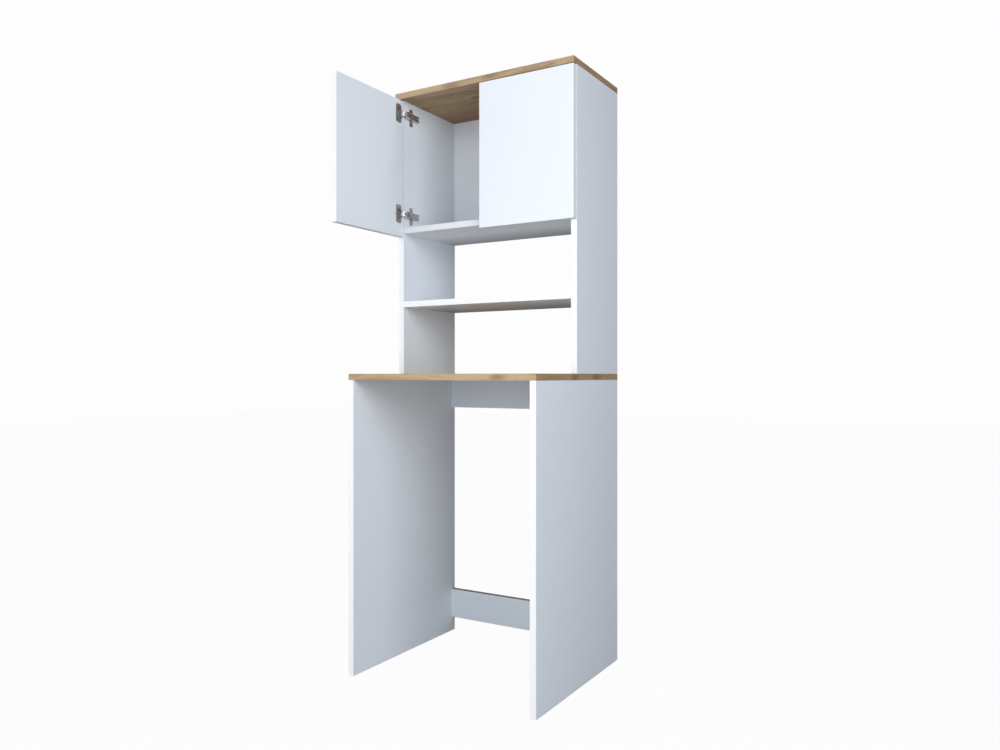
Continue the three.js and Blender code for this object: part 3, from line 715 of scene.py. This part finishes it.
def in_cross(middle):
    near, far = sorted((abs(middle.x), abs(middle.y)))
    return near < IN_LINE and far < IN_CROSS


def only(kind, geometry):
    return [item for item in geometry if isinstance(item, kind)]


def screw_head(work, radius, place, facing, dome=0.5, turn=0.0):
    """A cross-recess head, with its sizes in millimetres, its rim at the place given."""
    old_verts, old_faces = set(work.verts), set(work.faces)
    bmesh.ops.create_grid(work, x_segments=GRID_SQUARES, y_segments=GRID_SQUARES, size=1)
    squares = [f for f in work.faces if f not in old_faces]
    cross = [f for f in squares if in_cross(f.calc_center_median())]
    for vert in [v for v in work.verts if v not in old_verts]:
        flat = Vector((vert.co.x, vert.co.y, 0))
        if max(abs(flat.x), abs(flat.y)) > ON_RIM:
            flat.normalize()
        vert.co = flat * radius * MM
        vert.co.z = dome * MM * (1 - flat.length_squared)
    floor = only(bmesh.types.BMVert, bmesh.ops.extrude_face_region(work, geom=cross)["geom"])
    bmesh.ops.scale(work, vec=(RECESS_NARROWS_TO, RECESS_NARROWS_TO, 1), verts=floor)
    bmesh.ops.translate(work, vec=(0, 0, -RECESS_DEPTH * MM), verts=floor)
    bmesh.ops.delete(work, geom=[f for f in cross if f.is_valid], context="FACES")
    rim = [e for e in work.edges if e.is_boundary and all(v not in old_verts for v in e.verts)]
    skirt = bmesh.ops.extrude_edge_only(work, edges=rim)["geom"]
    foot = only(bmesh.types.BMVert, skirt)
    bmesh.ops.scale(work, vec=(SKIRT_NARROWS_TO, SKIRT_NARROWS_TO, 1), verts=foot)
    bmesh.ops.translate(work, vec=(0, 0, -SKIRT_DEPTH * MM), verts=foot)
    bmesh.ops.holes_fill(work, edges=only(bmesh.types.BMEdge, skirt), sides=0)
    fresh = [v for v in work.verts if v not in old_verts]
    bmesh.ops.rotate(work, cent=(0, 0, 0), matrix=Matrix.Rotation(turn, 3, "Z"), verts=fresh)
    set_in_place(work, fresh, place, facing)


print("screw head: a recess", RECESS_DEPTH, "mm deep under a dome")


# %% Finished piece
def finished(work, name, body, material):
    """Closes a mesh, links it as a piece of the cabinet and lets it ride on its body."""
    bmesh.ops.recalc_face_normals(work, faces=work.faces)
    loose = sum(not e.is_manifold for e in work.edges)
    mesh = bpy.data.meshes.new(name)
    work.to_mesh(mesh)
    work.free()
    piece = placed(name, mesh)
    give(piece, material)
    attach(piece, body)
    print(name, "rides on", body, "with", len(mesh.polygons), "faces, open edges:", loose)


# %% [markdown]
# Two screws hold each cup's flange to its door, and two more hold each mounting plate to its
# side. On the arm sit the screw that shifts the door sideways and the one that locks its depth.
# Small rivet heads close the two pins in the arm's cheeks. Everything is placed in the hinge's
# own plan: out of the cabinet's side, and back from its front edge.

# %% Places on a hinge
HAND = {"left": -1, "right": 1}
SIDE_FACE, SIDE_FRONT = 306 * MM, 13 * MM
HINGE_HEIGHTS = [
    sum(corner[2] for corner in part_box(f"hinge_arm_left_{level}")) / 2
    for level in ("upper", "lower")
]


def in_hinge(side, out, back, height):
    """A point of a hinge's plan: out of the side board, back from its front edge."""
    return (HAND[side] * (SIDE_FACE - out), SIDE_FRONT + back, height)


def on_door(side, from_edge, out, height):
    """A point on a door's inner face, measured from its hinged edge, and the way it faces."""
    low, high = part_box(f"door_{side}")
    if side == "left":
        return (high[0] + out, high[1] - from_edge, height), (1, 0, 0)
    return (high[0] - from_edge, high[1] + out, height), (0, 1, 0)


print("hinges at heights", [round(height, 4) for height in HINGE_HEIGHTS])

# %% Hinge screws and rivets
CUP_SCREW_RADIUS, PLATE_SCREW_RADIUS = 3.6, 3.9
CUP_SCREW_FROM_EDGE, CUP_SCREW_SPREAD, FLANGE_FACE = 28.5 * MM, 24 * MM, 1.25 * MM
PLATE_SCREW_BACK, PLATE_SCREW_SPREAD, WING_FACE = 37 * MM, 16 * MM, 2.3 * MM
ARM_COVER, ARM_CHEEK = 13 * MM, 8.5 * MM
ARM_PINS = [(8.6 * MM, 3.54 * MM), (15.73 * MM, -4.89 * MM)]
# On each arm, the adjuster and the lock: radius, how far each stands out and back, its dome
# and its turn.
ARM_SCREWS = [
    (3.1, ARM_COVER + 0.5 * MM, 30 * MM, 0.7, 0.3),
    (3.0, ARM_COVER + 0.3 * MM, 51 * MM, 0.5, 0.8),
]
RIVET_PROFILE = [(0, 0.55), (0.8, 0.48), (1.4, 0.2), (1.6, 0), (1.6, -0.3), (0, -0.3)]

# Nobody leaves the crosses of all screws in line, so the cup and plate screws take these turns.
turns = cycle([0.2, 1.1, 0.6, 0.9, 0.35, 1.3, 0.05, 0.75])
arm_screws, plate_screws, rivets = bmesh.new(), bmesh.new(), bmesh.new()
for side, hand in HAND.items():
    out_of_side = (-hand, 0, 0)
    cup_screws = bmesh.new()
    for z in HINGE_HEIGHTS:
        for end in (-1, 1):
            place, facing = on_door(
                side, CUP_SCREW_FROM_EDGE, FLANGE_FACE, z + end * CUP_SCREW_SPREAD)
            screw_head(cup_screws, CUP_SCREW_RADIUS, place, facing, turn=next(turns))
            place = in_hinge(side, WING_FACE, PLATE_SCREW_BACK, z + end * PLATE_SCREW_SPREAD)
            screw_head(plate_screws, PLATE_SCREW_RADIUS, place, out_of_side, turn=next(turns))
            for out, back in ARM_PINS:
                place = in_hinge(side, out, back, z + end * ARM_CHEEK)
                lathe(rivets, RIVET_PROFILE, place, (0, 0, end))
        for radius, out, back, dome, turn in ARM_SCREWS:
            screw_head(arm_screws, radius, in_hinge(side, out, back, z), out_of_side, dome, turn)
    finished(cup_screws, f"cup_screws_{side}", f"{side}_door", nickel)
finished(arm_screws, "hinge_arm_screws", "carcass", zinc)
finished(plate_screws, "hinge_plate_screws", "carcass", nickel)
finished(rivets, "hinge_arm_rivets", "carcass", nickel)

# %% [markdown]
# The thin back is nailed into its rebate all round. A back nail has a small round head that
# the hammer leaves almost flush. Eight go along the top, eight along the bottom, and four more
# up each side between the corners.

# %% Back nails
NAIL_PROFILE = [(0, 0.05), (1.1, 0.045), (1.6, 0.02), (1.7, -0.4), (0, -0.4)]
NAIL_INSET = 5 * MM
NAILS_ACROSS, NAILS_UP = 8, 6


def nail_places(start, end, count):
    """Even places along an edge of the back, an inset away from both of its ends."""
    run = end - start - 2 * NAIL_INSET
    return [start + NAIL_INSET + i * run / (count - 1) for i in range(count)]


low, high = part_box("back_panel")
across = nail_places(low[0], high[0], NAILS_ACROSS)
up = nail_places(low[2], high[2], NAILS_UP)
nailed = [(x, z) for x in across for z in (up[0], up[-1])]
nailed += [(x, z) for z in up[1:-1] for x in (across[0], across[-1])]
nails = bmesh.new()
for x, z in nailed:
    lathe(nails, NAIL_PROFILE, (x, high[1], z), (0, 1, 0))
finished(nails, "back_nails", "carcass", zinc)

# %% [markdown]
# The studio is a white floor under an even white sky. The floor and the sky are seen as white
# by the camera and by anything shiny, but they light the cabinet at their own modest strength,
# so the boards keep their shades of grey and the floor keeps the cabinet's shadow.

# %% Studio floor
FLOOR_SIZE = 30
FLOOR_GREY, FLOOR_ROUGHNESS = (0.33, 0.338, 0.35), 0.9
WHITE = (1, 1, 1)
SEEN_WHITE = 0.97


def seen_by_eye(net):
    """1 for rays from the camera or a shiny surface, 0 for those that only carry light."""
    light_path = net.node("LightPath").socket.node
    seen = Wire(net, light_path.outputs["Is Camera Ray"])
    for other in ("Is Glossy Ray", "Is Transmission Ray"):
        seen = seen.larger(Wire(net, light_path.outputs[other]))
    return seen


def studio_floor():
    work = bmesh.new()
    bmesh.ops.create_grid(work, x_segments=1, y_segments=1, size=FLOOR_SIZE / 2)
    mesh = bpy.data.meshes.new("studio_floor")
    work.to_mesh(mesh)
    work.free()
    floor = placed("studio_floor", mesh)
    finish = Finish("studio_floor")
    finish.surface(base_color=FLOOR_GREY, roughness=FLOOR_ROUGHNESS)
    glow = finish.node("Emission", sockets={"Color": WHITE, "Strength": 1.0})
    finish.show(finish.node("MixShader", sockets={
        0: seen_by_eye(finish) * SEEN_WHITE, 1: finish.shader, 2: glow,
    }))
    give(floor, finish.material)


studio_floor()
print("studio floor:", FLOOR_SIZE, "m wide, seen as white")

# %% Studio sky
SKY_STRENGTH, SKY_COLOUR = 0.022, (0.9, 0.95, 1.0)
SEEN_SKY = 0.985

world = bpy.data.worlds.new("studio_sky")
bpy.context.scene.world = world
sky = Net(world, "OutputWorld")
lit = sky.node("Background", sockets={"Color": SKY_COLOUR, "Strength": SKY_STRENGTH})
seen = sky.node("Background", sockets={"Color": WHITE, "Strength": SEEN_SKY})
sky.show(sky.node("MixShader", sockets={0: seen_by_eye(sky), 1: lit, 2: seen}))
print("studio sky: strength", SKY_STRENGTH, "as light,", SEEN_SKY, "as seen")

# %% [markdown]
# Six soft lamps light the cabinet. A broad one in front gives most of the light. Two cool ones
# stand to the right, one high and one low, and reach in under the shelves. A warm one fills in
# from the left, one stands behind the cabinet, and a small one hangs over the top panel.

# %% Soft lamps
NEUTRAL_LIGHT, COOL_LIGHT, WARM_LIGHT = (1, 1, 1), (0.87, 0.92, 1.0), (1.0, 0.975, 0.93)
# Each lamp: its place, the point that it faces, its size, its power in watts and its colour.
LAMPS = {
    "front_lamp": ((-0.2, -4.0, 1.6), (0, 0, 1.0), (4.0, 3.0), 90, NEUTRAL_LIGHT),
    "near_lamp": ((2.5, -1.7, 2.0), (0, 0, 1.1), (1.9, 1.6), 56, COOL_LIGHT),
    "low_lamp": ((2.2, -2.2, 0.6), (0, 0, 1.1), (1.6, 0.8), 17.5, COOL_LIGHT),
    "left_lamp": ((-3.2, -2.4, 1.5), (0, 0, 1.0), (2.4, 2.6), 35, WARM_LIGHT),
    "rear_lamp": ((-0.9, 4.2, 2.1), (-0.3, 0, 1.3), (1.0, 0.8), 42, NEUTRAL_LIGHT),
    "top_lamp": ((0, 0.2, 2.95), (0, 0.201, 1.84), (0.5, 0.3), 6, NEUTRAL_LIGHT),
}


def soft_lamp(name, place, target, size, power, colour):
    light = bpy.data.lights.new(name, "AREA")
    light.shape = "RECTANGLE"
    light.size, light.size_y = size
    light.energy = power
    light.color = colour
    lamp = placed(name, light)
    lamp.location = place
    lamp.rotation_euler = (Vector(target) - Vector(place)).to_track_quat("-Z", "Y").to_euler()


for name, values in LAMPS.items():
    soft_lamp(name, *values)
print("lamps:", [*LAMPS])
